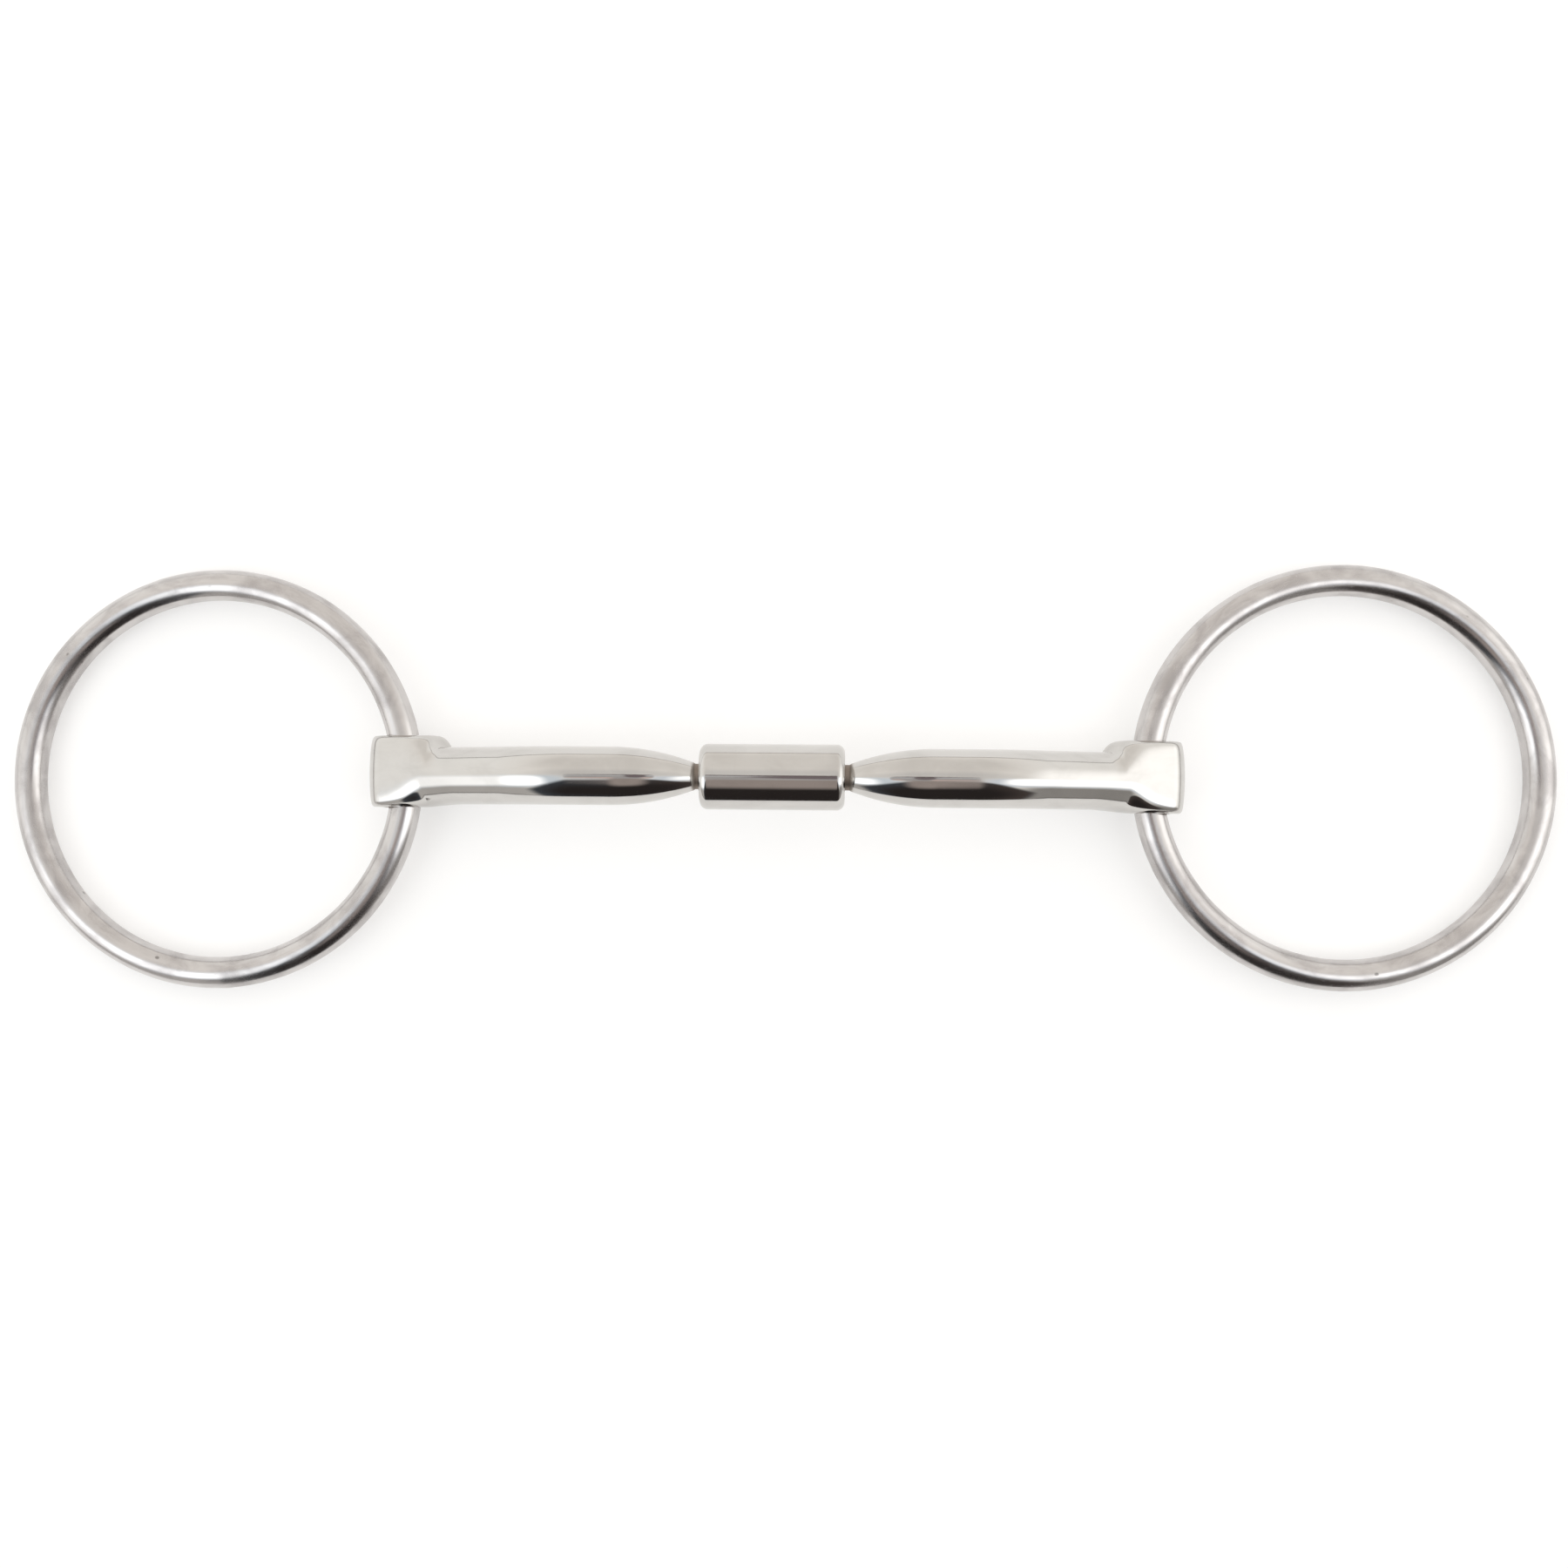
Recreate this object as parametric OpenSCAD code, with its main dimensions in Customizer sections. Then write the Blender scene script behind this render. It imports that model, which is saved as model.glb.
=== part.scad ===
// Loose-ring snaffle bit whose two bent arms swivel in a central barrel.
// It lies with its barrel arched up: +X runs along the mouthpiece, +Y along the
// ring holes, +Z up.
// The origin is under the middle of the barrel, on the surface the bit lies on.

/* [Mouthpiece] */
// Width between the rings, which is the size the bit is sold by
mouth_width = 127; // [100:1:160]
// Diameter of an arm between its taper and its butt
arm_d = 10.15; // [9.5:0.05:11]
// Diameter of an arm's blunt inner tip
tip_d = 4.6; // [4.6:0.1:6]
// Length of the taper at an arm's inner end
taper_length = 14.8; // [10:0.1:18]
// Distance from the middle of the barrel to the start of an arm's bend
bend_x = 35; // [31:0.5:40]
// Angle that an arm bends down through
bend_angle = 22; // [10:1:26]
// Radius of the bend, to the middle of the arm
bend_r = 28; // [22:1:40]

/* [Barrel] */
// Outer diameter of the barrel
barrel_d = 11.35; // [11:0.05:14]
// Length of the barrel
barrel_length = 24.9; // [22:0.1:32]
// Radius of the rounded edge at each end of the barrel
barrel_edge_r = 1.4; // [0.5:0.1:1.8]
// Bore of the barrel, which holds the collars
barrel_bore_d = 7.6; // [7:0.1:8]
// Open gap between the barrel and an arm's tip
swivel_gap = 0.8; // [0.5:0.05:2]

/* [Butts] */
// Length of a butt outward from its ring hole's axis
butt_out = 5.7; // [5.4:0.1:8]
// Length of a butt's raised shoulder inward from the hole's axis
butt_in = 7.9; // [6:0.1:9]
// How far the shoulder stands above the arm
shoulder_rise = 2.1; // [0.5:0.1:3]
// How far the butt's other side swells beyond the arm
belly_swell = 0.55; // [0.2:0.05:1.5]
// Thickness of a butt at its outer end
butt_depth = 10.9; // [10.2:0.1:12]
// Radius that rounds a butt's outer end, over its thickness
end_round = 3.6; // [1:0.1:4]
// Diameter of the ring hole
hole_d = 7; // [6.6:0.1:7.4]

/* [Rings] */
// Outer diameter of a ring
ring_od = 75.7; // [60:0.1:90]
// Diameter of the ring wire
wire_d = 5.6; // [5:0.1:5.8]
// How far the left ring has slid in its hole, towards its far side, where it lies
left_ring_slip = 0.6; // [-1.2:0.1:1.2]
// How far the right ring has slid in its hole, towards the shoulder's side
right_ring_slip = 1.2; // [-1.2:0.1:1.2]

/* [Swivels] */
// Diameter of the spigot that an arm turns on
spigot_d = 4.4; // [3:0.1:4.4]
// Length of a collar pressed into the barrel
collar_length = 5; // [3:0.5:7]
// Thickness of the disc that holds a spigot in
head_thickness = 2.2; // [1.5:0.1:3]
// Radial clearance of a spigot in its collar
running_clearance = 0.06; // [0.02:0.01:0.1]

/* [Hidden] */
$fn = 96;

LEFT = -1;
RIGHT = 1;
steel = [0.80, 0.79, 0.77];
ring_steel = [0.74, 0.73, 0.72];

arm_r = arm_d / 2;
tip_x = barrel_length / 2 + swivel_gap;
tip_r = tip_d / 2;
taper_end_x = tip_x + taper_length;
// Radius of the arc that runs from the tip into the arm and is tangent to it
taper_arc_r = (taper_length * taper_length + pow(arm_r - tip_r, 2)) / (2 * (arm_r - tip_r));

// Bend: the arm leaves the barrel level, and its butt slopes down outward.
wire_r = wire_d / 2;
hole_x = mouth_width / 2 + wire_r;
bend_end_x = bend_x + bend_r * sin(bend_angle);
bend_drop = bend_r * (1 - cos(bend_angle));

// Butt: drawn along its own slope, with x = 0 where the bend ends. Its
// sections run from the round arm, through a narrow ridge where the shoulder
// starts, to a square-cornered end.
hole_along = (hole_x - bend_end_x) / cos(bend_angle);
flare_overlap = 0.6;
flare_undersize = 0.02;
shoulder_x = hole_along - butt_in;
shoulder_corner = 1.8;
shoulder_edge_r = 0.35;
butt_end_x = hole_along + butt_out;
butt_top = arm_r + shoulder_rise;
butt_belly = arm_r + belly_swell;
butt_mid_y = (butt_top - butt_belly) / 2;
butt_half_y = (butt_top + butt_belly) / 2;
corner_power = 9;
edge_round = 0.8;
end_bow = 0.55;
hole_chamfer = 0.4;

// The butts' rounded lower ends rest on the surface, and hold the barrel up.
hole_z = (butt_out - end_round) * sin(bend_angle)
    + (butt_depth / 2 - end_round) * cos(bend_angle) + end_round;
axis_z = hole_z + bend_drop + (hole_x - bend_end_x) * tan(bend_angle);

// Ring: it sits a little inboard of the hole's axis, so that its curve
// clears the hole at both mouths, and it slopes down to the surface.
ring_r = ring_od / 2 - wire_r;
ring_inset = 0.4;
ring_tilt = asin((hole_z - wire_r) / (2 * ring_r - ring_inset));

// Swivel: the head sits behind the collar with a little end float.
spigot_r = spigot_d / 2;
barrel_bore_r = barrel_bore_d / 2;
collar_in_x = barrel_length / 2 - collar_length;
end_float = 0.1;
head_outer_x = collar_in_x - end_float;
head_inner_x = head_outer_x - head_thickness;
head_r = barrel_bore_r - 0.3;
peen_height = 0.35;
peen_r = spigot_r + 0.35;

// Share of the way from a to b, held between 0 and 1
function share(x, a, b) = min(1, max(0, (x - a) / (b - a)));
// The same with a soft start and a soft stop
function ease(x, a, b) = let (t = share(x, a, b)) t * t * (3 - 2 * t);

function arc(cx, cy, r, from, to, steps) =
    [for (i = [0 : steps]) let (a = from + (to - from) * i / steps) [cx + r * cos(a), cy + r * sin(a)]];

// Turn something drawn along +Z so that it runs along +X
module along_x() {
    rotate([90, 0, 90])
        children();
}

// Put something drawn for the right side, about the mouthpiece axis, on its side
module placed(side) {
    translate([0, 0, axis_z])
        mirror([side == LEFT ? 1 : 0, 0, 0])
            children();
}

// ---- Barrel ----

module barrel_sleeve() {
    end = barrel_length / 2;
    outside = barrel_d / 2;
    corner = barrel_edge_r;
    color(steel)
        translate([0, 0, axis_z])
            along_x()
                rotate_extrude()
                    polygon(concat(
                        [[barrel_bore_r, -end]],
                        arc(outside - corner, -end + corner, corner, -90, 0, 10),
                        arc(outside - corner, end - corner, corner, 0, 90, 10),
                        [[barrel_bore_r, end]]
                    ));
}

module collar(side) {
    color(steel)
        placed(side)
            translate([collar_in_x, 0, 0])
                along_x()
                    difference() {
                        cylinder(h = collar_length, r = barrel_bore_r);
                        translate([0, 0, -1])
                            cylinder(h = collar_length + 2, r = spigot_r + running_clearance);
                    }
}

// ---- Arm ----

// Round, level stretch of the arm from its blunt tip to the bend
module cannon() {
    round_tip = 0.25;
    arc_start = asin(taper_length / taper_arc_r);
    along_x()
        rotate_extrude()
            polygon(concat(
                [[0, tip_x], [tip_r - round_tip, tip_x]],
                [for (i = [1 : 16])
                    let (a = arc_start * (1 - i / 16))
                    [arm_r - taper_arc_r * (1 - cos(a)), taper_end_x - taper_arc_r * sin(a)]],
                [[arm_r, bend_x], [0, bend_x]]
            ));
}

module bend() {
    translate([bend_x, 0, -bend_r])
        rotate([0, -90, -90])
            rotate_extrude(angle = bend_angle)
                translate([bend_r, 0])
                    circle(r = arm_r);
}

// Put something drawn along the butt's own slope at the end of the bend
module on_slope() {
    translate([bend_end_x, 0, -bend_drop])
        rotate([0, bend_angle, 0])
            children();
}

// How far a rounded edge of radius r has drawn in at x, where the butt ends
function drawn_in(x, r) =
    let (t = share(x, butt_end_x - r, butt_end_x))
    r * (1 - sqrt(1 - t * t));
function butt_height(x) =
    let (t = share(x, shoulder_x, shoulder_x + shoulder_corner))
    arm_r + shoulder_rise * sqrt(1 - pow(1 - t, 2)) - drawn_in(x, edge_round);
function butt_low(x) =
    arm_r + belly_swell * ease(x, hole_along - 12.9, hole_along - 2.7) - drawn_in(x, edge_round);
function butt_half_depth(x) =
    arm_r + (butt_depth / 2 - arm_r) * pow(share(x, hole_along - 11.9, butt_end_x - end_round), 1.8)
    - drawn_in(x, end_round);
// How square the corners are on the shoulder's side and on the other
function top_power(x) = 2 + (corner_power - 2) * ease(x, hole_along - 9.7, hole_along - 1);
function low_power(x) = 2 + (corner_power - 2) * ease(x, hole_along - 6.5, hole_along + 4.5);

// How far a section reaches towards [c, s], where power squares its corners
function squared(c, s, tall, deep, power) =
    pow(pow(abs(c) / tall, power) + pow(abs(s) / deep, power), -1 / power);

// How far a ridge drawn out of the round arm stands beyond it there
function ridge(c, s, tall) =
    let (
        middle = tall - shoulder_edge_r,
        steep = acos(min(1, (arm_r - shoulder_edge_r) / middle)),
        a = atan2(abs(s), c),
        edge = atan2(shoulder_edge_r * sin(steep), middle + shoulder_edge_r * cos(steep))
    )
    a >= steep ? 0
    : a >= edge ? arm_r / cos(a - steep) - arm_r
    : middle * c + sqrt(pow(shoulder_edge_r, 2) - pow(middle * s, 2)) - arm_r;

function reach(x, c, s) =
    let (
        deep = butt_half_depth(x),
        boxed = ease(x, hole_along - 5.2, hole_along - 2.2),
        plain = squared(c, s, c > 0 ? arm_r : butt_low(x), deep, low_power(x))
    )
    c <= 0 ? plain
    : boxed == 1 ? squared(c, s, butt_height(x), deep, top_power(x))
    : boxed * squared(c, s, butt_height(x), deep, top_power(x))
        + (1 - boxed) * (plain + ridge(c, s, butt_height(x)));

// A closed section. The end is bowed outward, and spread draws in the
// sections that close it.
function section(x, sides, spread = 1) =
    let (
        shrink = flare_undersize * (1 - share(x, 0, shoulder_x)),
        bow = end_bow * ease(x, hole_along, butt_end_x)
    )
    [for (j = [0 : sides - 1])
        let (
            c = cos(360 * j / sides),
            s = sin(360 * j / sides),
            r = reach(x, c, s) - shrink,
            y = butt_mid_y + spread * (r * c - butt_mid_y),
            off_middle = (y - butt_mid_y) / butt_half_y
        )
        [x - bow * off_middle * off_middle, y, spread * r * s]];

module butt_flare() {
    sides = 64;
    rounding_x = butt_end_x - end_round;
    stations = concat(
        [for (i = [0 : 8]) -flare_overlap + (shoulder_x + flare_overlap) * i / 8],
        [for (i = [1 : 8]) shoulder_x + shoulder_corner * pow(i / 8, 2)],
        [for (i = [1 : 8]) shoulder_x + shoulder_corner
            + (rounding_x - shoulder_x - shoulder_corner) * i / 8],
        [for (a = [15 : 15 : 90]) rounding_x + end_round * sin(a)]
    );
    rings = concat(
        [for (x = stations) section(x, sides)],
        [for (spread = [0.75, 0.5, 0.25]) section(butt_end_x, sides, spread)]
    );
    last = len(rings) - 1;
    polyhedron(
        points = [for (ring = rings) each ring],
        faces = concat(
            [[for (j = [0 : sides - 1]) j]],
            [for (i = [0 : last - 1], j = [0 : sides - 1])
                let (k = (j + 1) % sides)
                [i * sides + j, (i + 1) * sides + j, (i + 1) * sides + k, i * sides + k]],
            [[for (j = [sides - 1 : -1 : 0]) last * sides + j]]
        )
    );
}

// Hole right through the butt, with both mouths chamfered
module ring_hole() {
    hole_r = hole_d / 2;
    past = 1;
    wide = hole_r + hole_chamfer + past;
    translate([hole_along, 0, 0])
        rotate([-90, 0, 0]) {
            translate([0, 0, -butt_belly - past])
                cylinder(h = 2 * (butt_half_y + past), r = hole_r);
            translate([0, 0, butt_top - hole_chamfer])
                cylinder(h = hole_chamfer + past, r1 = hole_r, r2 = wide);
            translate([0, 0, -butt_belly - past])
                cylinder(h = hole_chamfer + past, r1 = wide, r2 = hole_r);
        }
}

// Thin round end that turns in the collar and is peened over its head
module spigot() {
    translate([head_inner_x, 0, 0])
        along_x()
            cylinder(h = tip_x + 1 - head_inner_x, r = spigot_r);
    translate([head_inner_x - peen_height, 0, 0])
        along_x()
            cylinder(h = peen_height, r1 = spigot_r - 0.2, r2 = peen_r);
}

module arm(side) {
    color(steel)
        placed(side)
            difference() {
                union() {
                    spigot();
                    cannon();
                    bend();
                    on_slope()
                        butt_flare();
                }
                on_slope()
                    ring_hole();
            }
}

module spigot_head(side) {
    color(steel)
        placed(side)
            translate([head_inner_x, 0, 0])
                along_x()
                    difference() {
                        cylinder(h = head_thickness, r = head_r);
                        translate([0, 0, -1])
                            cylinder(h = head_thickness + 2, r = spigot_r);
                    }
}

// ---- Ring ----

module ring(side, slip) {
    color(ring_steel)
        placed(side)
            translate([hole_x, 0, hole_z - axis_z])
                rotate([0, ring_tilt, 0])
                    translate([ring_r - ring_inset, slip, 0])
                        rotate_extrude()
                            translate([ring_r, 0])
                                circle(r = wire_r);
}

module left_collar() { collar(LEFT); }
module right_collar() { collar(RIGHT); }
module left_arm() { arm(LEFT); }
module right_arm() { arm(RIGHT); }
module left_spigot_head() { spigot_head(LEFT); }
module right_spigot_head() { spigot_head(RIGHT); }
module left_ring() { ring(LEFT, -left_ring_slip); }
module right_ring() { ring(RIGHT, right_ring_slip); }

barrel_sleeve();
left_collar();
right_collar();
left_arm();
left_spigot_head();
right_arm();
right_spigot_head();
left_ring();
right_ring();
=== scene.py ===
"""A loose-ring snaffle bit in polished stainless steel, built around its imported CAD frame.

Lengths are in millimetres where a name ends in _MM or a comment says so, and in metres elsewhere.
"""

import math

import bmesh
import bpy
import numpy as np
from mathutils import Matrix, Vector


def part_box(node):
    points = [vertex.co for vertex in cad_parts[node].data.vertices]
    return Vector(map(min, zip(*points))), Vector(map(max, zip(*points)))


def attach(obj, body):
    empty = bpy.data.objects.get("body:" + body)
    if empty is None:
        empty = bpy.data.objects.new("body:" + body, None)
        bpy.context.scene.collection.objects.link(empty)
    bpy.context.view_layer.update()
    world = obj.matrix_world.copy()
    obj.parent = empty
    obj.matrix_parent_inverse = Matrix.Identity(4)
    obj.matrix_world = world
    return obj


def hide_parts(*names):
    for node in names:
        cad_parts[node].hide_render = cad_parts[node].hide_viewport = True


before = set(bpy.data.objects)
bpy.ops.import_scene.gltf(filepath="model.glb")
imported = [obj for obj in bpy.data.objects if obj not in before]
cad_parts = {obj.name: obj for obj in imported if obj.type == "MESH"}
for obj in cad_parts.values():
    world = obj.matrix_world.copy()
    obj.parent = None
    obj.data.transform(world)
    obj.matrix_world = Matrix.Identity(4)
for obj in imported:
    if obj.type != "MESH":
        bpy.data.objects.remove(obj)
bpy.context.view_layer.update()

MM = 0.001
LEFT, RIGHT = -1, 1
SIDE_NAME = {LEFT: "left", RIGHT: "right"}

# ---- Sizes, in millimetres, from the frame and the few driving dimensions that it can't give ----


def span(node, axis):
    """(lowest, highest) of a CAD node along an axis, in millimetres."""
    low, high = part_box(node)
    return low[axis] / MM, high[axis] / MM


X, Y, Z = 0, 1, 2
BARREL_END = span("barrel_sleeve", X)[1]
BARREL_R = (span("barrel_sleeve", Y)[1] - span("barrel_sleeve", Y)[0]) / 2
AXIS_Z = sum(span("barrel_sleeve", Z)) / 2
BORE_R = (span("right_collar", Y)[1] - span("right_collar", Y)[0]) / 2
PEEN_END = span("right_arm", X)[0]
HEAD_IN = span("right_spigot_head", X)[0]

BARREL_EDGE_R = 1.4
BORE_BEVEL = 0.18
ARM_R = 5.075
TIP_R = 2.3
SWIVEL_GAP = 0.8
TAPER_LENGTH = 14.8
SPIGOT_R = 2.2
PEEN_R = SPIGOT_R + 0.3
BEND_X = 35.0
BEND_R = 28.0
BEND_ANGLE = math.radians(22)
MOUTH_WIDTH = 127.0
WIRE_R = 2.8
HOLE_R = 3.5
BUTT_OUT = 5.7
BUTT_IN = 7.9
SHOULDER_RISE = 2.1
SHOULDER_CORNER = {LEFT: 1.4, RIGHT: 2.2}
SHOULDER_FLANK = 8.0
SHOULDER_BLEND = 0.3
BELLY_SWELL = 0.55
BUTT_DEPTH = 10.9
END_ROUND = 4.0
EDGE_ROUND = 0.8
END_BOW = 0.55
ROUND_POWER, CORNER_POWER = 2.0, 9.0
NOSE_R = 0.22
LIP_R, LIP_TURN, LIP_STANDOFF = 0.42, 68, 0.06

# Places along a butt, outward from its hole.
BELLY_SPAN = (-12.9, -2.7)
TOP_SQUARING, LOW_SQUARING = (-9.7, 1.0), (-7.0, 5.0)
FLARE_START, FLARE_POWER = -11.9, 1.8

TIP_X = BARREL_END + SWIVEL_GAP
TAPER_END_X = TIP_X + TAPER_LENGTH
TAPER_ARC_R = (TAPER_LENGTH**2 + (ARM_R - TIP_R) ** 2) / (2 * (ARM_R - TIP_R))
HOLE_X = MOUTH_WIDTH / 2 + WIRE_R
BEND_END_X = BEND_X + BEND_R * math.sin(BEND_ANGLE)
BEND_LENGTH = BEND_R * BEND_ANGLE
HOLE_ALONG = (HOLE_X - BEND_END_X) / math.cos(BEND_ANGLE)
BUTT_END = HOLE_ALONG + BUTT_OUT
SHOULDER_X = HOLE_ALONG - BUTT_IN
BUTT_TOP = ARM_R + SHOULDER_RISE
BUTT_BELLY = ARM_R + BELLY_SWELL
BUTT_MID_Y = (BUTT_TOP - BUTT_BELLY) / 2
BUTT_HALF_Y = (BUTT_TOP + BUTT_BELLY) / 2

# ---- Small maths ----


def share(x, a, b):
    """Share of the way from a to b, held between 0 and 1."""
    return min(1.0, max(0.0, (x - a) / (b - a)))


def ease(x, a, b):
    """The same with a soft start and a soft stop."""
    t = share(x, a, b)
    return t * t * (3 - 2 * t)


def even(a, b, count):
    """count + 1 evenly spaced values from a to b."""
    return [a + (b - a) * i / count for i in range(count + 1)]


def fillet(cx, cy, r, start, stop, steps):
    """Points of an arc, by angles in degrees."""
    angles = [math.radians(a) for a in even(start, stop, steps)]
    return [(cx + r * math.cos(a), cy + r * math.sin(a)) for a in angles]


def around(sides):
    """(cosine, sine) of evenly spaced directions round a circle."""
    angles = [2 * math.pi * j / sides for j in range(sides)]
    return [(math.cos(a), math.sin(a)) for a in angles]


# ---- Mesh building ----


def grid_mesh(name, rows, grain, closed_rows=False, caps=(False, False)):
    """A skin over rows of points in millimetres. Each row is a closed loop, and grain holds a
    point's place along and around the metal for the streaks in its finish."""
    sides = len(rows[0])
    points = [p for row in rows for p in row]
    grains = [g for row in grain for g in row]
    faces = []
    last = len(rows) if closed_rows else len(rows) - 1
    for i in range(last):
        a, b = i * sides, ((i + 1) % len(rows)) * sides
        faces += [(a + j, a + (j + 1) % sides, b + (j + 1) % sides, b + j) for j in range(sides)]
    for at_end, wanted in enumerate(caps):
        if wanted:
            row = (len(rows) - 1) * sides if at_end else 0
            middle = sum((Vector(p) for p in rows[-at_end]), Vector()) / sides
            points.append(middle)
            grains.append(grain[-at_end][0])
            faces += [(row + j, row + (j + 1) % sides, len(points) - 1) for j in range(sides)]
    mesh = bpy.data.meshes.new(name)
    mesh.from_pydata([tuple(c * MM for c in p) for p in points], [], faces)
    attribute = mesh.attributes.new("grain", "FLOAT_VECTOR", "POINT")
    attribute.data.foreach_set("vector", np.array(grains, np.float32).ravel() * MM)
    return outward(mesh)


def outward(mesh):
    """Faces turned outward and shaded smooth."""
    work = bmesh.new()
    work.from_mesh(mesh)
    bmesh.ops.recalc_face_normals(work, faces=work.faces)
    work.to_mesh(mesh)
    work.free()
    mesh.shade_smooth()
    return mesh


def link(name, mesh):
    obj = bpy.data.objects.new(name, mesh)
    bpy.context.scene.collection.objects.link(obj)
    return obj


def lathe(name, profile, sides, z=0.0):
    """A closed profile of (x, radius) turned about the line along X at height z."""
    rows, grain = [], []
    travel = 0.0
    for i, (x, r) in enumerate(profile):
        if i:
            travel += math.dist(profile[i - 1], profile[i])
        rows.append([(x, r * c, z + r * s) for c, s in around(sides)])
        grain.append([(travel, r * c, r * s) for c, s in around(sides)])
    return grid_mesh(name, rows, grain, closed_rows=True)


# ---- Barrel ----


def make_barrel():
    """A turned sleeve with rounded outer edges, bored for its collars."""
    end, corner, bevel = BARREL_END, BARREL_EDGE_R, BORE_BEVEL
    outside = BARREL_R - corner
    right = fillet(end - corner, outside, corner, 0, 90, 18)[::-1]
    profile = [(-x, r) for x, r in right[::-1]] + [(x, r) for x, r in right]
    skin = []
    for i, point in enumerate(profile):
        skin.append(point)
        if i == len(right) - 1:
            skin += [(x, BARREL_R) for x in even(-end + corner, end - corner, 60)[1:-1]]
    rim = [(end, r) for r in even(outside, BORE_R + bevel, 8)[1:]]
    bore = [(x, BORE_R) for x in even(end - bevel, -end + bevel, 24)]
    back_rim = [(-x, r) for x, r in rim[::-1]]
    mesh = lathe("barrel", skin + rim + bore + back_rim, 192, AXIS_Z)
    return link("barrel", mesh)


# ---- Arms ----


def drawn_in(x, r):
    """How far an edge of radius r has drawn in at x, where the butt ends."""
    t = share(x, BUTT_END - r, BUTT_END)
    return r * (1 - math.sqrt(1 - t * t))


def shoulder_rise(side, x, c):
    """How far the shoulder stands above the arm towards a direction whose cosine from the top is c.
    Its flanks climb more slowly than its crest does."""
    climb = SHOULDER_CORNER[side] + SHOULDER_FLANK * (1 - c)
    heights = []
    for shift in even(-SHOULDER_BLEND, SHOULDER_BLEND, 6):
        t = share(x + shift, SHOULDER_X, SHOULDER_X + climb)
        heights.append(math.sqrt(1 - (1 - t) ** 2))
    return SHOULDER_RISE * sum(heights) / len(heights)


def squared(c, s, tall, deep, power):
    """How far a section reaches towards (c, s) where its corners are squared by power."""
    return ((abs(c) / tall) ** power + (abs(s) / deep) ** power) ** (-1 / power)


def section_points(side, x, sides, spread=1.0):
    """(y, w) round a butt's section."""
    from_hole = x - HOLE_ALONG
    low = ARM_R + BELLY_SWELL * ease(from_hole, *BELLY_SPAN) - drawn_in(x, EDGE_ROUND)
    flare = share(x, HOLE_ALONG + FLARE_START, BUTT_END - END_ROUND) ** FLARE_POWER
    deep = ARM_R + (BUTT_DEPTH / 2 - ARM_R) * flare - drawn_in(x, END_ROUND)
    top_power = ROUND_POWER + (CORNER_POWER - ROUND_POWER) * ease(from_hole, *TOP_SQUARING)
    low_power = ROUND_POWER + (CORNER_POWER - ROUND_POWER) * ease(from_hole, *LOW_SQUARING)
    points = []
    for c, s in around(sides):
        if c > 0:
            height = ARM_R + shoulder_rise(side, x, c) - drawn_in(x, EDGE_ROUND)
            reach = squared(c, s, height, deep, top_power)
        else:
            reach = squared(c, s, low, deep, low_power)
        points.append((BUTT_MID_Y + spread * (reach * c - BUTT_MID_Y), spread * reach * s))
    return points


def round_points(r, sides):
    return [(r * c, r * s) for c, s in around(sides)]


def cannon_profile():
    """(x, radius) from the peened inner end along the spigot and the taper to the bend."""
    start = math.asin(TAPER_LENGTH / TAPER_ARC_R)
    ogive = []
    for i in range(1, 49):
        a = start * (1 - i / 48)
        ogive.append((TAPER_END_X - TAPER_ARC_R * math.sin(a), ARM_R - TAPER_ARC_R * (1 - math.cos(a))))
    return (
        [(PEEN_END + 0.02, 0.4), (PEEN_END + 0.03, 1.2), (PEEN_END + 0.12, 1.8), (HEAD_IN - 0.03, PEEN_R)]
        + [(HEAD_IN - 0.01, SPIGOT_R + 0.02), (HEAD_IN, SPIGOT_R)]
        + [(x, SPIGOT_R) for x in even(HEAD_IN, TIP_X, 24)[1:]]
        + fillet(TIP_X + NOSE_R, TIP_R - NOSE_R, NOSE_R, 143, 110, 4)
        + ogive
        + [(x, ARM_R) for x in even(TAPER_END_X, BEND_X, 16)[1:]]
    )


def arm_frames(side):
    """Sections of an arm from its inner end to its butt: each is the centre's (x, z), the slope,
    the distance along the arm, and the section's points."""
    sides = 208
    rows = []
    for x, r in cannon_profile():
        rows.append(((x, 0.0), 0.0, x, round_points(r, sides), None))
    for a in even(0, BEND_ANGLE, 44)[1:]:
        centre = (BEND_X + BEND_R * math.sin(a), -BEND_R * (1 - math.cos(a)))
        rows.append((centre, a, BEND_X + BEND_R * a, round_points(ARM_R, sides), None))
    round_start = BUTT_END - END_ROUND
    shoulder_foot = SHOULDER_X - SHOULDER_BLEND
    stations = even(0, shoulder_foot, 34)[1:] + even(shoulder_foot, round_start, 110)[1:]
    stations += [round_start + END_ROUND * math.sin(math.radians(a)) for a in even(0, 90, 30)[1:]]
    for u in stations:
        rows.append(butt_row(u, section_points(side, u, sides)))
    for spread in (0.94, 0.86, 0.74, 0.6, 0.44, 0.28, 0.12, 0.03):
        rows.append(butt_row(BUTT_END, section_points(side, BUTT_END, sides, spread)))
    return rows


def butt_row(u, points):
    centre = (
        BEND_END_X + u * math.cos(BEND_ANGLE),
        -BEND_R * (1 - math.cos(BEND_ANGLE)) - u * math.sin(BEND_ANGLE),
    )
    return centre, BEND_ANGLE, BEND_X + BEND_LENGTH + u, points, END_BOW * ease(u, HOLE_ALONG, BUTT_END)


def arm_point(side, centre, slope, y, w, bow):
    back = bow * ((y - BUTT_MID_Y) / BUTT_HALF_Y) ** 2 if bow else 0.0
    x = centre[0] + w * math.sin(slope) - back * math.cos(slope)
    z = centre[1] + w * math.cos(slope) + back * math.sin(slope)
    return (side * x, y, AXIS_Z + z)


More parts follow.
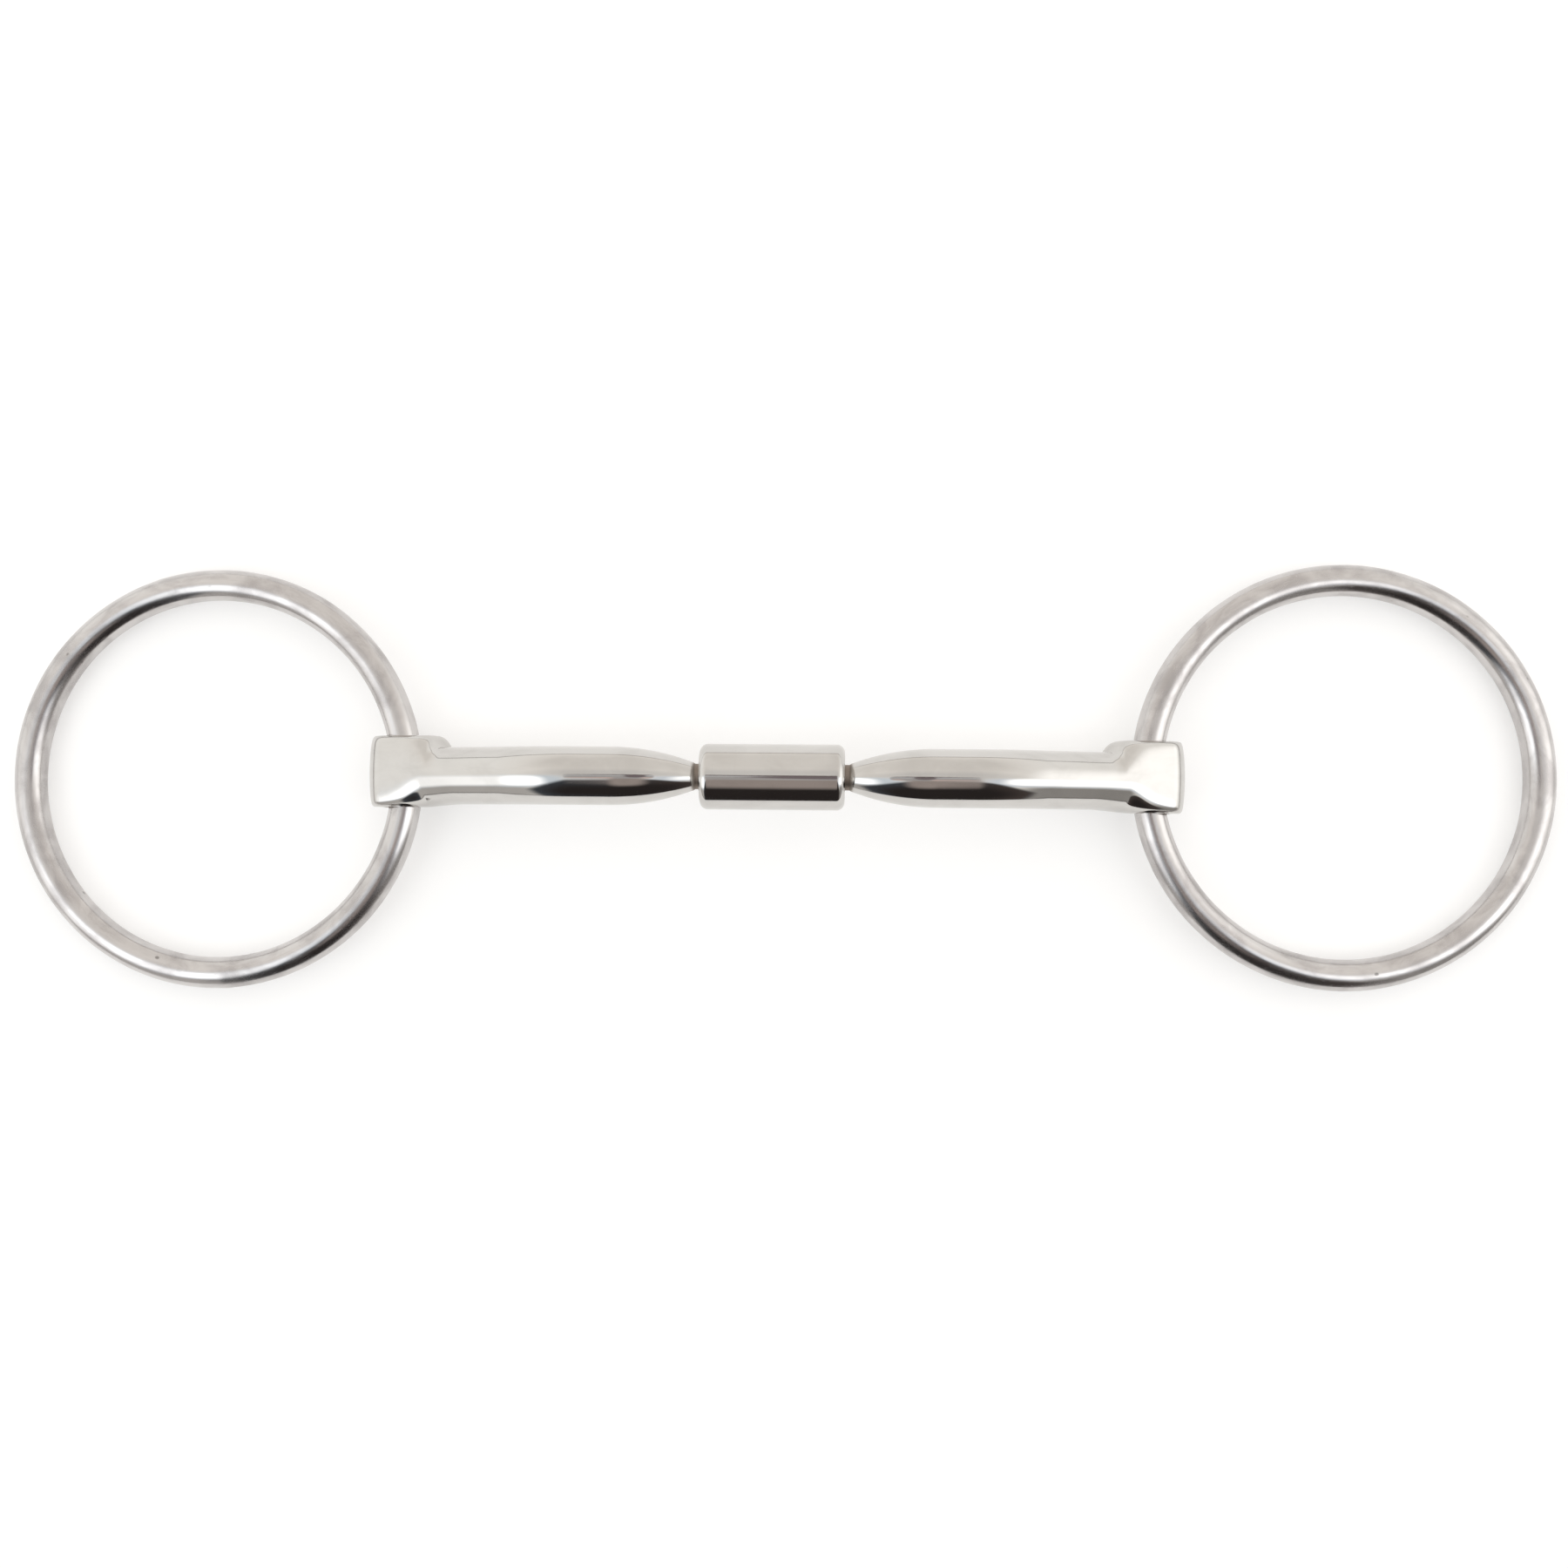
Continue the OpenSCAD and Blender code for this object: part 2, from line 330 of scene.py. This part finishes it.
def make_arm(side):
    """One arm from its peened spigot to its butt, with the ring hole cut through."""
    rows, grain = [], []
    for centre, slope, along, points, bow in arm_frames(side):
        rows.append([arm_point(side, centre, slope, y, w, bow) for y, w in points])
        grain.append([(along, y, w) for y, w in points])
    name = SIDE_NAME[side] + "_mouthpiece_arm"
    arm = link(name, grid_mesh(name, rows, grain, caps=(True, True)))
    cut_hole(arm, side)
    return arm


def hole_cutter(side):
    """A spool whose flared ends round the hole's mouths over."""
    past, turn = 0.6, math.radians(LIP_TURN)
    top = BUTT_TOP - LIP_R * math.sin(turn) + LIP_STANDOFF
    profile = [(y, HOLE_R) for y in even(BUTT_MID_Y, top, 30)]
    for a in map(math.radians, even(0, LIP_TURN, 8)[1:]):
        profile.append((top + LIP_R * math.sin(a), HOLE_R + LIP_R * (1 - math.cos(a))))
    last_y, last_r = profile[-1]
    profile.append((last_y + past, last_r + past * math.tan(turn)))
    profile = [(2 * BUTT_MID_Y - y, r) for y, r in profile[::-1]][:-1] + profile
    hole_z = -BEND_R * (1 - math.cos(BEND_ANGLE)) - HOLE_ALONG * math.sin(BEND_ANGLE)
    rows, grain = [], []
    for y, r in profile:
        rows.append([(side * (HOLE_X + r * c), y, AXIS_Z + hole_z + r * s) for c, s in around(128)])
        grain.append([(y, r * c, r * s) for c, s in around(128)])
    return link("hole_cutter", grid_mesh("hole_cutter", rows, grain, caps=(True, True)))


def cut_hole(arm, side):
    cutter = hole_cutter(side)
    cut = arm.modifiers.new("ring hole", "BOOLEAN")
    cut.operation, cut.solver, cut.object = "DIFFERENCE", "EXACT", cutter
    depsgraph = bpy.context.evaluated_depsgraph_get()
    mesh = bpy.data.meshes.new_from_object(arm.evaluated_get(depsgraph))
    arm.modifiers.clear()
    arm.data = mesh
    bpy.data.objects.remove(cutter)
    mesh.shade_smooth()
    mesh.set_sharp_from_angle(angle=math.radians(50))


# ---- Rings ----


WELD_AT = {LEFT: -94, RIGHT: -5}  # degrees round from the outermost point
WELD_SWELL, WELD_WIDTH = 0.03, 0.9
LONG_WAVE, SHORT_WAVE, WEAR = 0.010, 0.006, 0.016
RING_GRAIN = {LEFT: 0.0, RIGHT: 170.0}
GRAIN_DRIFT = 1.5


def make_ring(side):
    """A ring of round wire, faintly uneven along its length, with the low swell of a ground weld."""
    name = SIDE_NAME[side] + "_ring"
    (y0, y1), (x0, x1), (z0, z1) = (span(name, axis) for axis in (Y, X, Z))
    ring_r = (y1 - y0) / 2 - WIRE_R
    tilt = math.asin(min(1.0, (z1 - z0 - 2 * WIRE_R) / (2 * ring_r)))
    centre = Vector(((x0 + x1) / 2, (y0 + y1) / 2, (z0 + z1) / 2))
    outer = Vector((side * math.cos(tilt), 0, -math.sin(tilt)))
    along, up = Vector((0, 1, 0)), Vector((side * math.sin(tilt), 0, math.cos(tilt)))
    turns, sides = 560, 96
    weld_at = math.radians(WELD_AT[side])
    rows, grain = [], []
    for i in range(turns):
        a = 2 * math.pi * i / turns
        direction = outer * math.cos(a) + along * math.sin(a)
        off_weld = (a - weld_at + math.pi) % (2 * math.pi) - math.pi
        uneven = LONG_WAVE * math.sin(7 * a + side) + SHORT_WAVE * math.sin(17 * a + 2 * side) - WEAR
        swell = WELD_SWELL * math.exp(-((off_weld * ring_r / WELD_WIDTH) ** 2))
        folded = abs((a + math.pi) % (2 * math.pi) - math.pi) * ring_r + RING_GRAIN[side]
        row, row_grain = [], []
        for c, s in around(sides):
            r = WIRE_R + uneven + swell * (0.6 + 0.4 * c)
            row.append(centre + direction * (ring_r + r * c) + up * (r * s))
            row_grain.append((folded, r * c + GRAIN_DRIFT * math.sin(a), r * s))
        rows.append(row)
        grain.append(row_grain)
    return link(name + "_wire", grid_mesh(name + "_wire", rows, grain, closed_rows=True))


# ---- Materials ----


class Nodes:
    """A material's nodes, made and joined in one line each."""

    def __init__(self, name):
        self.material = bpy.data.materials.new(name)
        self.material.use_nodes = True
        self.tree = self.material.node_tree
        self.shader = self.tree.nodes["Principled BSDF"]

    def add(self, kind, inputs=(), **settings):
        node = self.tree.nodes.new(kind)
        for key, value in settings.items():
            setattr(node, key, value)
        for key, value in dict(inputs).items():
            self.set(node.inputs[key], value)
        return node

    def set(self, socket, value):
        if isinstance(value, bpy.types.NodeSocket):
            self.tree.links.new(value, socket)
        else:
            socket.default_value = value

    def stretched(self, source, along, across):
        """The grain's place, scaled along and across the metal."""
        factors = (along, across, across)
        scaled = self.add("ShaderNodeVectorMath", {0: source, 1: factors}, operation="MULTIPLY")
        return scaled.outputs["Vector"]

    def noise(self, vector, detail=2.0, rough=0.5, distort=0.0):
        node = self.add(
            "ShaderNodeTexNoise",
            {"Vector": vector, "Scale": 1.0, "Detail": detail, "Roughness": rough, "Distortion": distort},
        )
        return node.outputs["Fac"]

    def ramp(self, value, low, high, to_low, to_high, kind="SMOOTHSTEP"):
        node = self.add(
            "ShaderNodeMapRange",
            {"Value": value, "From Min": low, "From Max": high, "To Min": to_low, "To Max": to_high},
            interpolation_type=kind,
        )
        return node.outputs["Result"]

    def blend(self, factor, a, b, how="MIX"):
        node = self.add("ShaderNodeMix", data_type="RGBA", blend_type=how)
        self.set(node.inputs["Factor"], factor)
        colours = [s for s in node.inputs if s.type == "RGBA"]
        self.set(colours[0], a)
        self.set(colours[1], b)
        return [s for s in node.outputs if s.type == "RGBA"][0]

    def bump(self, height, distance, before=None):
        inputs = {"Height": height, "Distance": distance, "Strength": 1.0}
        if before is not None:
            inputs["Normal"] = before
        return self.add("ShaderNodeBump", inputs).outputs["Normal"]


STEEL = (0.615, 0.600, 0.578, 1)
STEEL_DULL = (0.560, 0.545, 0.523, 1)
RING_STEEL = (0.600, 0.578, 0.566, 1)
RING_DULL = (0.430, 0.408, 0.400, 1)
MACHINED = (0.56, 0.55, 0.53, 1)
MACHINED_DULL = (0.44, 0.43, 0.41, 1)
PIT = (0.16, 0.15, 0.14, 1)
# Painted shade for the narrow gap between the barrel's end and each arm's tip.
GAP_SHADE = (0.270, 0.225, 0.190, 1)


def steel(name, bright, dull, streak, streak_depth, gloss, wave_depth, pits=0.0, shaded_to=None):
    """Polished stainless steel. streak is how often the polishing lines come, along and across the metal,
    and the last argument is how far along it the metal is darkened with painted shade, for the gap by the
    barrel's end."""
    n = Nodes(name)
    place = n.add("ShaderNodeAttribute", attribute_name="grain").outputs["Vector"]
    lines = n.noise(n.stretched(place, *streak), detail=3.0, rough=0.6)
    hazy = n.noise(n.stretched(place, 140, 260), detail=3.0, rough=0.55, distort=0.4)
    scratches = n.noise(n.stretched(place, 900, 5200), detail=1.0, rough=0.4, distort=1.5)
    waves = n.noise(n.stretched(place, 120, 210), detail=1.0)
    colour = n.blend(n.ramp(hazy, 0.35, 0.75, 0.0, 1.0), bright, dull)
    colour = n.blend(n.ramp(lines, 0.60, 0.78, 0.0, 0.35), colour, dull)
    low_gloss, high_gloss = gloss
    roughness = n.ramp(hazy, 0.3, 0.7, low_gloss, high_gloss)
    rubbed = n.ramp(scratches, 0.66, 0.74, 0.0, 0.05)
    roughness = n.add("ShaderNodeMath", {0: roughness, 1: rubbed}, operation="ADD").outputs["Value"]
    normal = n.bump(waves, wave_depth)
    normal = n.bump(lines, streak_depth, normal)
    if pits:
        cells = {"Vector": n.stretched(place, 230, 330), "Scale": 1.0, "Randomness": 1.0}
        spots = n.add("ShaderNodeTexVoronoi", cells)
        chance = n.noise(n.stretched(place, 61, 83), detail=0.0)
        inside = n.ramp(spots.outputs["Distance"], 0.05, 0.13, 1.0, 0.0)
        rare = n.ramp(chance, 0.62, 0.66, 0.0, pits)
        pit = n.add("ShaderNodeMath", {0: inside, 1: rare}, operation="MULTIPLY").outputs["Value"]
        colour = n.blend(pit, colour, PIT)
        normal = n.bump(pit, -1.5e-5, normal)
    # Painted shade: the metal is darkened up to this place along it, for the shade in the gap by the
    # barrel's end.
    if shaded_to is not None:
        along = n.add("ShaderNodeSeparateXYZ", {"Vector": place}).outputs["X"]
        shade_amount = n.ramp(along, (shaded_to - 0.1) * MM, (shaded_to + 0.9) * MM, 1.0, 0.0)
        colour = n.blend(shade_amount, colour, GAP_SHADE)
        roughness = n.ramp(shade_amount, 0.0, 1.0, roughness, 0.5, kind="LINEAR")
    n.set(n.shader.inputs["Base Color"], colour)
    n.set(n.shader.inputs["Roughness"], roughness)
    n.set(n.shader.inputs["Normal"], normal)
    n.shader.inputs["Metallic"].default_value = 1.0
    return n.material


def machined_steel():
    """Bare turned steel of the parts inside the barrel, with rings about the barrel's axis."""
    n = Nodes("machined_steel")
    place = n.add("ShaderNodeTexCoord").outputs["Object"]
    axis = (0, 0, AXIS_Z * MM)
    off_axis = n.add("ShaderNodeVectorMath", {0: place, 1: axis}, operation="SUBTRACT").outputs["Vector"]
    flat = n.add("ShaderNodeVectorMath", {0: off_axis, 1: (0, 1, 1)}, operation="MULTIPLY").outputs["Vector"]
    radius = n.add("ShaderNodeVectorMath", {0: flat}, operation="LENGTH").outputs["Value"]
    along = n.add("ShaderNodeSeparateXYZ", {"Vector": off_axis}).outputs["X"]
    both = n.add("ShaderNodeCombineXYZ", {"X": radius, "Y": along}).outputs["Vector"]
    rings = n.noise(n.stretched(both, 9000, 9000), detail=2.0)
    patches = n.noise(n.stretched(place, 400, 400), detail=3.0)
    colour = n.blend(n.ramp(patches, 0.3, 0.7, 0.0, 1.0), MACHINED, MACHINED_DULL)
    n.set(n.shader.inputs["Base Color"], colour)
    n.set(n.shader.inputs["Roughness"], n.ramp(rings, 0.3, 0.7, 0.22, 0.38))
    n.set(n.shader.inputs["Normal"], n.bump(rings, 4e-6))
    n.shader.inputs["Metallic"].default_value = 1.0
    return n.material


def paint(obj, material):
    obj.data.materials.clear()
    obj.data.materials.append(material)


# ---- Stage: floor, light tent, camera ----

TENT_R = 0.70
FLOOR_HALF = 0.62


def softly(x, a, b):
    t = np.clip((x - a) / (b - a), 0, 1)
    return t * t * (3 - 2 * t)


def panel(u, v, middle, half, soft, power=5.0):
    """1 inside a rounded panel of the tent, falling to 0 over soft."""
    across, up = np.abs((u - middle[0]) / half[0]), np.abs((v - middle[1]) / half[1])
    away = (across**power + up**power) ** (1 / power)
    return 1 - softly(away, 1 - soft, 1 + soft)


def dark_panel(u, v):
    """1 on the dark panel between the two bright ones, which widens from overhead down to the table."""
    spread = np.clip((-v - 0.06) / 0.46, 0, 1) ** 0.75
    left, right, soft = -0.35 * spread, 0.41 * spread, 0.045
    between = softly(u, left - soft, left + soft) * (1 - softly(u, right - soft, right + soft))
    return between * softly(-v, 0.09, 0.19)


def laid(light, colour, mask):
    """light with a colour laid over it where mask says."""
    return light + (np.array(colour) - light) * mask[:, None]


# Each panel's colour and strength, then its middle, half size, softness and squareness.
TENT_PANELS = (
    ((0.80, 0.78, 0.76), 0.8, (0.0, 0.06), (0.24, 0.13), 0.6, 2),
    ((1.75, 1.73, 1.70), 1.0, (0.62, 0.02), (0.20, 0.30), 0.6, 2),
    ((0.58, 0.56, 0.54), 1.0, (-0.62, -0.64), (0.34, 0.31), 0.35, 3),
    ((0.36, 0.345, 0.33), 1.0, (0.62, -0.58), (0.32, 0.34), 0.30, 3),
    ((0.84, 0.92, 1.00), 1.0, (-0.34, -0.22), (0.24, 0.21), 0.30, 4),
    ((0.88, 0.94, 1.02), 1.0, (0.34, -0.15), (0.24, 0.14), 0.30, 4),
    ((1.55, 1.56, 1.57), 1.0, (-0.52, -0.20), (0.24, 0.17), 0.40, 3),
    ((2.1, 2.15, 2.2), 1.0, (-0.37, -0.20), (0.13, 0.16), 0.40, 3),
    ((2.2, 2.2, 2.2), 1.0, (0.43, -0.12), (0.20, 0.11), 0.35, 3),
)


def tent_light(u, v):
    """What the tent sends towards the bit from each direction. u and v place a direction on a
    flat disc: its middle is straight up, its rim is the horizon, u runs to +X and v to +Y."""
    beige, pale = np.array([1.08, 1.035, 0.985]), np.array([1.18, 1.17, 1.14])
    sideways = softly(np.abs(u), 0.15, 0.75)[:, None]
    light = beige + (pale - beige) * sideways
    light = light * (1 - 0.10 * panel(u, v, (0.0, 0.50), (0.30, 0.35), 0.5, 2))[:, None]
    for colour, strength, *place in TENT_PANELS:
        light = laid(light, colour, strength * panel(u, v, *place))
    shape = dark_panel(u, v)
    light = laid(light, (0.075, 0.086, 0.102), shape)
    light = laid(light, (0.085, 0.068, 0.062), shape * softly(u, -0.02, 0.20))
    light = laid(light, (0.030, 0.025, 0.024), shape * panel(u, v, (0.02, -0.66), (0.30, 0.42), 0.45, 2))
    light = laid(light, (0.42, 0.36, 0.335), panel(u, v, (0.0, -0.20), (0.085, 0.17), 0.45, 3))
    line = softly(np.hypot(u, v), 0.940, 0.965)
    return light * (1 - 0.45 * line)[:, None]


PANEL_LEFT, PANEL_RIGHT, PANEL_TOP, PANEL_FOOT = -0.085, 0.062, 0.018, -0.064
PANEL_ABOVE_CAMERA = 0.004
WARM_PATCHES = ((-0.066, -0.050), (0.047, -0.050))


def overhead_light(x, y):
    """The same for the small panel hung over the bit, with a dark top edge, a dark disc and two warm
    patches; and how solid it is at each place."""
    middle = ((PANEL_LEFT + PANEL_RIGHT) / 2, (PANEL_TOP + PANEL_FOOT) / 2)
    half = ((PANEL_RIGHT - PANEL_LEFT) / 2, (PANEL_TOP - PANEL_FOOT) / 2)
    solid = panel(x, y, middle, half, 0.06, 6)
    light = np.tile(np.array([0.50, 0.48, 0.475]), (len(x), 1))
    light = laid(light, (0.90, 0.92, 0.95), 0.5 * softly(y, -0.030, 0.006))
    light = laid(light, (0.24, 0.20, 0.21), panel(x, y, (0.012, -0.012), (0.030, 0.030), 0.2, 2))
    light = laid(light, (0.13, 0.095, 0.095), softly(y, PANEL_TOP - 0.013, PANEL_TOP - 0.009))
    for patch in WARM_PATCHES:
        light = laid(light, (0.76, 0.60, 0.55), panel(x, y, patch, (0.020, 0.011), 0.35, 2))
    return light, solid


def glowing_mesh(name, points, faces, colours):
    """A mesh that only lights and is reflected: the camera doesn't see it and it casts no shadow."""
    mesh = bpy.data.meshes.new(name)
    mesh.from_pydata(points.tolist(), [], faces)
    glow = mesh.attributes.new("glow", "FLOAT_COLOR", "POINT")
    glow.data.foreach_set("color", colours.astype(np.float32).ravel())
    obj = link(name, mesh)
    obj.visible_camera = False
    obj.visible_shadow = False
    return obj


def make_overhead_panel():
    """A small studio panel over the bit, seen only in the steel."""
    count = 96
    x, y = np.meshgrid(np.linspace(-0.11, 0.09, count), np.linspace(-0.09, 0.06, count))
    x, y = x.ravel(), y.ravel()
    light, solid = overhead_light(x, y)
    faces = [
        (i * count + j, i * count + j + 1, (i + 1) * count + j + 1, (i + 1) * count + j)
        for i in range(count - 1)
        for j in range(count - 1)
    ]
    points = np.stack([x, y, np.full(len(x), CAMERA_REACH + PANEL_ABOVE_CAMERA)], 1)
    card = glowing_mesh("overhead_panel", points, faces, np.concatenate([light, solid[:, None]], 1))
    card.visible_diffuse = False
    paint(card, glow_material("overhead_panel_glow"))


def make_tent():
    """A light tent round the bit, which lights it and the table but isn't seen by the camera."""
    rings, sectors = 150, 300
    reach = np.linspace(0.0, 1.03, rings + 1)[1:]
    turn = np.linspace(0, 2 * np.pi, sectors, endpoint=False)
    u = np.concatenate([[0.0], np.outer(reach, np.cos(turn)).ravel()])
    v = np.concatenate([[0.0], np.outer(reach, np.sin(turn)).ravel()])
    square = u * u + v * v
    points = np.stack([2 * u, 2 * v, 1 - square], 1) / (1 + square)[:, None] * TENT_R
    faces = [(0, 1 + j, 1 + (j + 1) % sectors) for j in range(sectors)]
    for i in range(rings - 1):
        a, b = 1 + i * sectors, 1 + (i + 1) * sectors
        faces += [(a + j, a + (j + 1) % sectors, b + (j + 1) % sectors, b + j) for j in range(sectors)]
    colours = np.concatenate([tent_light(u, v), np.ones((len(u), 1))], 1)
    tent = glowing_mesh("light_tent", points, faces, colours)
    paint(tent, glow_material("tent_fabric"))


def glow_material(name):
    """Light by each point's colour, clear where its alpha is 0."""
    material = bpy.data.materials.new(name)
    material.use_nodes = True
    tree = material.node_tree
    tree.nodes.clear()
    glow = tree.nodes.new("ShaderNodeAttribute")
    glow.attribute_name = "glow"
    emission = tree.nodes.new("ShaderNodeEmission")
    clear = tree.nodes.new("ShaderNodeBsdfTransparent")
    mix = tree.nodes.new("ShaderNodeMixShader")
    output = tree.nodes.new("ShaderNodeOutputMaterial")
    tree.links.new(glow.outputs["Color"], emission.inputs["Color"])
    tree.links.new(glow.outputs["Alpha"], mix.inputs[0])
    tree.links.new(clear.outputs[0], mix.inputs[1])
    tree.links.new(emission.outputs[0], mix.inputs[2])
    tree.links.new(mix.outputs[0], output.inputs["Surface"])
    material.cycles.emission_sampling = "NONE"
    return material


CARD_LOW, CARD_HIGH = (0.590, 0.587, 0.580, 1), (0.610, 0.607, 0.602, 1)
CARD_GLOW = (1.0, 0.995, 0.985, 1)
TABLE_GLOW = 0.46


def make_floor():
    """A plain white table top, lit a little from beneath so that the bit's shadow all but goes."""
    half = FLOOR_HALF
    mesh = bpy.data.meshes.new("table_top")
    corners = [(-half, -half, 0), (half, -half, 0), (half, half, 0), (-half, half, 0)]
    mesh.from_pydata(corners, [], [(0, 1, 2, 3)])
    floor = link("table_top", mesh)
    n = Nodes("white_card")
    place = n.add("ShaderNodeTexCoord").outputs["Object"]
    tone = n.noise(n.stretched(place, 600, 600), detail=4.0)
    n.set(n.shader.inputs["Base Color"], n.blend(tone, CARD_LOW, CARD_HIGH))
    n.shader.inputs["Roughness"].default_value = 0.9
    n.shader.inputs["Specular IOR Level"].default_value = 0.0
    n.shader.inputs["Emission Color"].default_value = CARD_GLOW
    n.shader.inputs["Emission Strength"].default_value = TABLE_GLOW
    paint(floor, n.material)


LAMP_WIDTH, LAMP_WATTS, LAMP_DROP = 1.3, 1.1, 0.06


def make_lights():
    """A broad overhead lamp that lifts the table to white and adds no highlight of its own."""
    light = bpy.data.lights.new("soft_lamp", "AREA")
    light.shape, light.size, light.energy = "DISK", LAMP_WIDTH, LAMP_WATTS
    lamp = bpy.data.objects.new("soft_lamp", light)
    lamp.location = (0, 0, TENT_R - LAMP_DROP)
    lamp.visible_glossy = False
    bpy.context.scene.collection.objects.link(lamp)
    world = bpy.data.worlds.new("studio")
    world.use_nodes = True
    world.node_tree.nodes["Background"].inputs["Color"].default_value = (1, 1, 1, 1)
    world.node_tree.nodes["Background"].inputs["Strength"].default_value = 1.0
    bpy.context.scene.world = world


CAMERA_REACH = 0.300
CAMERA_TARGET = Vector((0.00151, -0.00066, 0.0))
CAMERA_TURNS = {"X": -1.775, "Y": -1.726, "Z": -0.523}
CAMERA_LENS = 37.88


def make_camera():
    """The photograph's camera: nearly straight down over the bit's middle."""
    turn = {axis: Matrix.Rotation(math.radians(a), 3, axis) for axis, a in CAMERA_TURNS.items()}
    to_world = (turn["Z"] @ turn["X"] @ turn["Y"]).transposed()
    data = bpy.data.cameras.new("camera")
    data.sensor_width, data.lens = 36.0, CAMERA_LENS
    data.clip_start, data.clip_end = 0.01, 10.0
    camera = bpy.data.objects.new("camera", data)
    place = CAMERA_TARGET + to_world @ Vector((0, 0, CAMERA_REACH))
    camera.matrix_world = Matrix.Translation(place) @ to_world.to_4x4()
    bpy.context.scene.collection.objects.link(camera)
    bpy.context.scene.camera = camera


# ---- The scene ----

bpy.context.scene.view_settings.view_transform = "Standard"
make_camera()
make_floor()
make_tent()
make_overhead_panel()
make_lights()

arm_steel = steel(
    "polished_arm_steel",
    STEEL,
    STEEL_DULL,
    streak=(60, 1500),
    streak_depth=1.2e-6,
    gloss=(0.045, 0.085),
    wave_depth=2.0e-5,
    # Painted shade on the spigot and the neck in the gap by the barrel.
    shaded_to=TIP_X,
)
barrel_steel = steel(
    "polished_barrel_steel",
    STEEL,
    STEEL_DULL,
    streak=(2600, 90),
    streak_depth=1.0e-6,
    gloss=(0.06, 0.10),
    wave_depth=1.0e-5,
)
ring_steel = steel(
    "streaked_ring_steel",
    RING_STEEL,
    RING_DULL,
    streak=(45, 1700),
    streak_depth=7.0e-6,
    gloss=(0.18, 0.28),
    wave_depth=4.0e-5,
    pits=0.7,
)
inner_steel = machined_steel()

barrel = make_barrel()
paint(barrel, barrel_steel)
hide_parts("barrel_sleeve")
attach(barrel, "barrel")

for side in (LEFT, RIGHT):
    word = SIDE_NAME[side]
    arm = make_arm(side)
    paint(arm, arm_steel)
    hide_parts(word + "_arm")
    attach(arm, word + "_mouthpiece_arm")
    ring = make_ring(side)
    paint(ring, ring_steel)
    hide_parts(word + "_ring")
    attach(ring, word + "_loose_ring")

HIDDEN_UNDER = {"barrel_sleeve": barrel_steel, "left_arm": arm_steel, "right_arm": arm_steel}
HIDDEN_UNDER.update({"left_ring": ring_steel, "right_ring": ring_steel})
for node_name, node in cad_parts.items():
    paint(node, HIDDEN_UNDER.get(node_name, inner_steel))
